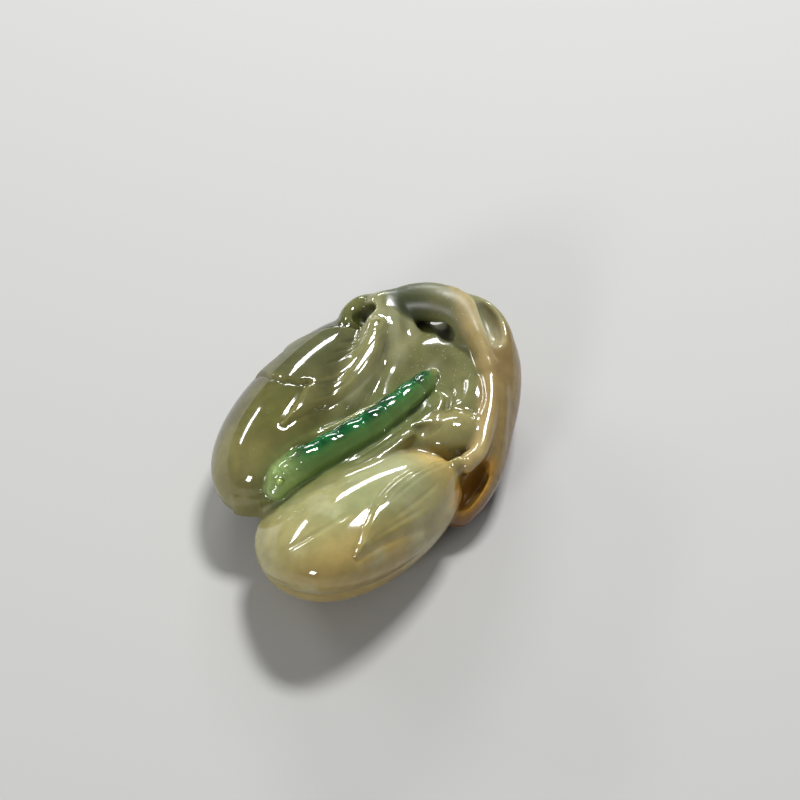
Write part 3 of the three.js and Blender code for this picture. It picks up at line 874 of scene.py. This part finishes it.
class Shader:
    """A material's nodes around its Principled BSDF."""

    def __init__(self, name):
        self.material = bpy.data.materials.new(name)
        self.material.use_nodes = True
        self.tree = self.material.node_tree
        self.surface = self.tree.nodes["Principled BSDF"]

    def fill(self, node, inputs):
        """Sets each input of a node to a value, or links it to a Socket."""
        for place, value in inputs.items():
            if isinstance(value, Socket):
                self.tree.links.new(value.output, node.inputs[place])
            else:
                node.inputs[place].default_value = value

    def node(self, kind, settings, inputs, output=0):
        """Adds a node of a kind, sets its settings, then its inputs, and wraps one of its outputs."""
        made = self.tree.nodes.new(kind)
        for name, value in settings.items():
            setattr(made, name, value)
        self.fill(made, inputs)
        return Socket(self, made.outputs[output])

    def attribute(self, name):
        """A number that the mesh carries at each vertex."""
        return self.node("ShaderNodeAttribute", {"attribute_name": name}, {}, "Fac")

    def mixed(self, share, first, second, blend="MIX"):
        """A colour between the first and its blend with the second, by a share from 0 to 1."""
        settings = {"data_type": "RGBA", "blend_type": blend}
        return self.node("ShaderNodeMix", settings, {0: share, 6: first, 7: second}, 2)

    def layered(self, base, layers):
        """A base with colours laid over it, each by where it lies, from 0 to 1, times its strength."""
        for where, strength, tint in layers:
            base = self.mixed(where * strength, base, tint)
        return base

    def cloud(self, scale, detail, where):
        """Noise around 0.5 at a scale per metre."""
        return self.node("ShaderNodeTexNoise", {}, {"Vector": where, "Scale": scale, "Detail": detail})


# %% [markdown]
# ## The jade
#
# The stone is polished and lets light in a little way, so it has a sharp reflection over a soft,
# scattered colour. Its colours are laid over each other form by form: olive and brown on the left
# fruit, celadon to honey on the front one, beige on the vine, russet on the curled leaf and emerald
# on the larva. Clouds, veins and fine pale specks then break them up, as in real jade.

# %% Clouds and zones
jade = Shader("jade")
place = jade.node("ShaderNodeTexCoord", {}, {}, "Object")
large_cloud = jade.cloud(110.0, 3.0, place)
small_cloud = jade.cloud(420.0, 4.0, place)
veins = jade.cloud(190.0, 6.0, place).step(0.52, 0.7)
specks = jade.cloud(2600.0, 1.0, place).step(0.68, 0.74)
patchy = large_cloud.step(0.3, 0.7)
zone = {name: jade.attribute(name) for name in marks}
print("clouds, veins and specks in", len(zone), "zones and places")

# %% The palette
OLIVE = (0.135, 0.128, 0.032, 1.0)
DARK_OLIVE = (0.095, 0.098, 0.022, 1.0)
LEAF_GREEN = (0.018, 0.023, 0.005, 1.0)
SKIN_BROWN = (0.045, 0.026, 0.004, 1.0)
# Pale olive for the left fruit's tip, also a painted highlight along the leaf edges
PALE_OLIVE_AND_EDGE_HIGHLIGHT = (0.25, 0.225, 0.080, 1.0)
CELADON = (0.32, 0.345, 0.165, 1.0)
WARM_TAN = (0.42, 0.31, 0.105, 1.0)
# Honey, the stone's warm tone, also used as a painted glow at the front fruit's bottom
HONEY_AND_GLOW = (0.60, 0.41, 0.125, 1.0)
BEIGE = (0.30, 0.26, 0.105, 1.0)
STALK = (0.29, 0.29, 0.160, 1.0)
STEM = (0.42, 0.32, 0.140, 1.0)
BOWL = (0.15, 0.16, 0.062, 1.0)
MOSS = (0.028, 0.040, 0.010, 1.0)
BROWN = (0.24, 0.165, 0.062, 1.0)
RUSSET = (0.17, 0.062, 0.010, 1.0)
AMBER = (0.36, 0.20, 0.040, 1.0)
EMERALD = (0.001, 0.040, 0.010, 1.0)
BRIGHT_EMERALD = (0.002, 0.12, 0.024, 1.0)
APPLE = (0.14, 0.23, 0.055, 1.0)
PALE_APPLE = (0.30, 0.40, 0.140, 1.0)
# A dark tone painted into the creases and the cord hole as shade
PAINTED_SHADE = (0.030, 0.026, 0.007, 1.0)
SPECK = (0.55, 0.56, 0.42, 1.0)
# Milky white for clouds and the front fruit, also a painted highlight on the pad
MILK_AND_PAD_HIGHLIGHT = (0.52, 0.52, 0.34, 1.0)

# %% Colours of the fruits
# Each layer is where it lies, its strength and its colour. Steps along and across are in millimetres
left = jade.layered(jade.mixed(patchy, DARK_OLIVE, OLIVE), [
    (zone["left_along"].step(-7.0, 3.0), 0.9, LEAF_GREEN),
    ((zone["left_across"] + large_cloud * 5.0).step(0.5, -5.0), 1.0, SKIN_BROWN),
    (zone["left_along"].step(-9.0, -18.0), 0.8, PALE_OLIVE_AND_EDGE_HIGHLIGHT),
])
front = jade.layered(jade.mixed(zone["front_across"].step(2.0, 10.0), CELADON, WARM_TAN), [
    (zone["front_along"].step(1.0, 6.0), 0.35, MILK_AND_PAD_HIGHLIGHT),
    (zone["front_along"].step(-6.0, -15.0), 0.4, WARM_TAN),
    # Partly the stone's warm tone, partly a painted glow of light passing through the lower edge
    (zone["height"].step(8.5, 2.5), 1.0, HONEY_AND_GLOW),
    (zone["front_along"].step(7.0, 14.0), 1.0, HONEY_AND_GLOW),
    (patchy, 0.3, WARM_TAN),
    (veins, 0.45, MILK_AND_PAD_HIGHLIGHT),
])
colour = jade.layered(BOWL, [
    (patchy, 0.3, BEIGE),
    (zone["node"], 0.6, BEIGE),
    (zone["left"], 1.0, left),
    (zone["front"], 1.0, front),
])

# %% Colours of the vine and the leaves
low_down = (zone["height"] + large_cloud * 8.0).step(13.5, 8.5)
colour = jade.layered(colour, [
    (zone["stalks"], 0.8 - zone["curl"] * 0.6, STALK),
    (zone["stem"], 0.8, STEM),
    (zone["rim"] * zone["outer"], 0.9, BROWN),
    (zone["rim"] * zone["outer"], low_down, RUSSET),
    (zone["arch"] * zone["arch_along"].step(0.85, 0.3), 0.9, MOSS),
    (zone["curl"], 0.5, DARK_OLIVE),
    (zone["cup"], 1.0, AMBER),
    # Painted highlight: a pale wash on the pad stands for the light on its upper rim
    (zone["pad"], 0.35, MILK_AND_PAD_HIGHLIGHT),
    # Painted highlight: a pale line along each bare leaf edge stands for the light on its lip
    (zone["edge_highlight"], 0.35, PALE_OLIVE_AND_EDGE_HIGHLIGHT),
    (zone["glow"], 0.3, APPLE),
])

# %% Colours of the larva
green = jade.layered(jade.mixed(small_cloud.step(0.35, 0.65), EMERALD, BRIGHT_EMERALD), [
    (zone["larva_across"].step(0.0, -0.8), 0.75, APPLE),
    (zone["larva_across"].step(0.55, 1.0), 0.6, OLIVE),
    (zone["larva_along"].step(0.22, 0.03), 0.9, PALE_APPLE),
])

# %% Clouds, specks and painted shade over all
DIM = (0.9, 0.9, 0.9, 1.0)
BRIGHT = (1.08, 1.08, 1.08, 1.0)

colour = jade.mixed(1.0, colour, jade.mixed(small_cloud.step(0.3, 0.7), DIM, BRIGHT), "MULTIPLY")
colour = jade.layered(colour, [
    (specks, 0.08 + zone["bowl"] * 0.3, SPECK),
    (zone["larva"], zone["larva_along"].step(1.0, 0.93), green),
    # Painted shade: creases are darkened where shade falls in them
    (zone["crease"].step(0.4, 0.95), 0.25, PAINTED_SHADE),
    # Painted shade: the cord hole is darkened inside where it lies in shade
    (zone["hole"], 0.5, PAINTED_SHADE),
])

# %% Polish and depth
# Roughness is added where the carver's polish doesn't reach. Lengths are in metres
POLISHED = 0.07
unpolished = zone["arch"] * 0.34 + zone["hole"] * 0.7 + zone["bowl"] * 0.06 + zone["stem"] * 0.08
ripple = jade.node(
    "ShaderNodeBump", {}, {"Strength": 0.25, "Distance": 0.00004, "Height": small_cloud}
)
jade.fill(jade.surface, {
    "Base Color": colour,
    "Roughness": POLISHED + unpolished,
    "Normal": ripple,
    "IOR": 1.6,
    "Subsurface Weight": 0.8,
    "Subsurface Radius": (1.0, 0.85, 0.35),
    "Subsurface Scale": 0.002,
})
carving.data.materials.append(jade.material)
print("the jade has", len(jade.tree.nodes), "nodes")

# %% [markdown]
# ## Floor and lights
#
# The pendant lies on a plain pale floor. A polished stone shows each lamp as a bright shape, so the
# lamps are rectangles, placed and sized so that their reflections lie where the stone's do: long
# streaks down the fruits, short ones on the ridges, and a spot near each fruit's tip.

# %% Floor
FLOOR_SIDE = 1.2
FLOOR_COLOUR = (0.43, 0.43, 0.42, 1.0)
FLOOR_ROUGHNESS = 0.7

half = FLOOR_SIDE / 2
corners = [(-half, -half, 0.0), (half, -half, 0.0), (half, half, 0.0), (-half, half, 0.0)]
floor_mesh = bpy.data.meshes.new("floor")
floor_mesh.from_pydata(corners, [], [(0, 1, 2, 3)])
floor = bpy.data.objects.new("floor", floor_mesh)
bpy.context.scene.collection.objects.link(floor)
floor_shader = Shader("floor")
floor_shader.fill(floor_shader.surface, {"Base Color": FLOOR_COLOUR, "Roughness": FLOOR_ROUGHNESS})
floor_mesh.materials.append(floor_shader.material)
print("the floor is", FLOOR_SIDE, "m wide")

# %% Lamps
LAMP_DISTANCE = 0.7
LAMP_TARGET = Vector((0.0, 0.0, 0.012))
WORLD_LIGHT = 0.2

# Azimuth, elevation, width and height in degrees, and power in watts
LAMPS = {
    "key": (-24.0, 57.0, 15.0, 8.0, 5.0),
    "back_bar": (5.0, 23.0, 24.0, 5.0, 1.8),
    "left_bar": (48.0, 20.0, 24.0, 4.0, 1.2),
    "front_box": (145.0, 24.0, 14.0, 12.0, 1.9),
}


def soft_box(name, azimuth, elevation, width, height, watts):
    """A rectangular lamp seen from the pendant in a direction and at a size, all in degrees.

    The azimuth is counted from straight behind the pendant, as the camera sees it, to the left.
    """
    turn = np.radians(azimuth) + AZIMUTH
    rise = np.radians(elevation)
    away = Vector((-np.sin(turn) * np.cos(rise), np.cos(turn) * np.cos(rise), np.sin(rise)))
    data = bpy.data.lights.new(name, "AREA")
    data.shape = "RECTANGLE"
    data.size = 2.0 * LAMP_DISTANCE * np.tan(np.radians(width) / 2)
    data.size_y = 2.0 * LAMP_DISTANCE * np.tan(np.radians(height) / 2)
    data.energy = watts
    lamp = bpy.data.objects.new(name, data)
    lamp.location = LAMP_TARGET + away * LAMP_DISTANCE
    lamp.rotation_euler = (-away).to_track_quat("-Z", "Y").to_euler()
    bpy.context.scene.collection.objects.link(lamp)


for name, placing in LAMPS.items():
    soft_box(name, *placing)

world = bpy.data.worlds.new("studio")
bpy.context.scene.world = world
world.use_nodes = True
background = world.node_tree.nodes["Background"]
background.inputs["Color"].default_value = (1.0, 1.0, 1.0, 1.0)
background.inputs["Strength"].default_value = WORLD_LIGHT
bpy.context.scene.view_settings.view_transform = "Standard"
print(len(LAMPS), "lamps,", LAMP_DISTANCE, "m away")
